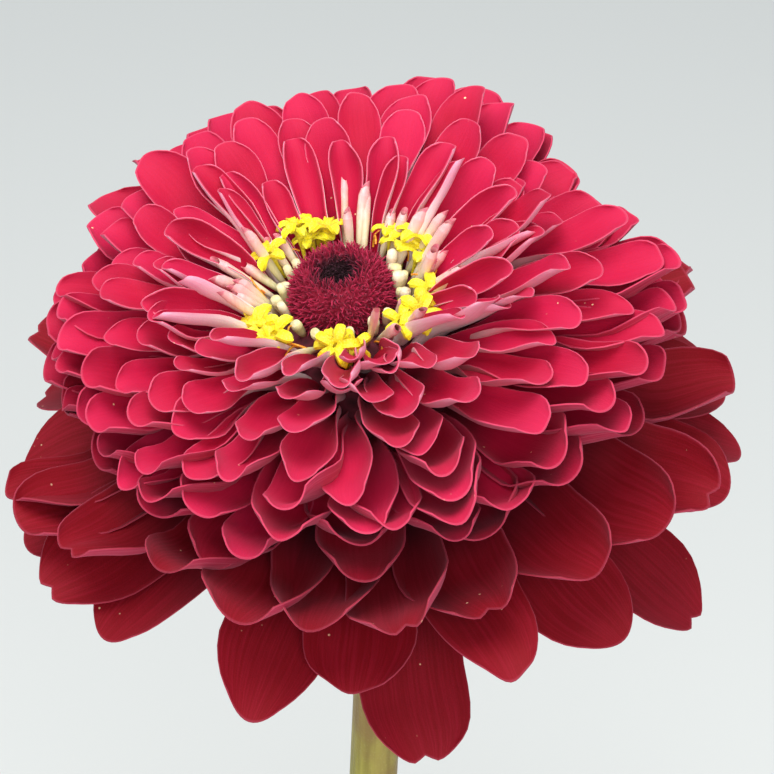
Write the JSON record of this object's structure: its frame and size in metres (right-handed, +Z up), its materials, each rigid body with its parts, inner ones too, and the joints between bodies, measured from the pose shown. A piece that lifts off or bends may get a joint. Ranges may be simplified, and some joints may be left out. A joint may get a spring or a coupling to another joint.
{
  "type": "potted zinnia",
  "caption": "Bedding flower in a clay pot: a double crimson bloom with a dark disc and yellow florets, on a leafy stem standing in soil.",
  "frame": {"origin": "centre of the pot's foot, on the ground", "axes": "+Z up along the pot's axis, -Y the front, towards which the bloom leans, +X to the right seen from the front"},
  "size_m": [0.1896, 0.1625, 0.3402],
  "materials": {
    "clay": "unglazed fired clay",
    "soil": "moist crumbly potting mix",
    "stem_green": "ribbed, short-haired plant skin",
    "leaf_green": "matte leaf",
    "bract_green": "overlapping bracts with dark edges",
    "crimson_petal": "velvety petal",
    "cream_ray": "smooth rolled young petal",
    "yellow_floret": "waxy floret",
    "dark_disc": "velvety bract tips"
  },
  "bodies": {
    "root": {"pot": "clay", "soil": "soil", "stem": "stem_green", "leaf_1a": "leaf_green", "leaf_1b": "leaf_green", "leaf_2a": "leaf_green", "leaf_2b": "leaf_green", "leaf_3a": "leaf_green", "leaf_3b": "leaf_green", "leaf_4a": "leaf_green", "leaf_4b": "leaf_green", "side_shoot_1": "leaf_green", "side_shoot_2": "leaf_green", "side_shoot_3": "leaf_green", "side_shoot_4": "leaf_green", "involucre": "bract_green", "petals": "crimson_petal", "young_rays": "cream_ray", "disc_florets": "yellow_floret", "disc_cone": "dark_disc"}
  },
  "joints": []
}
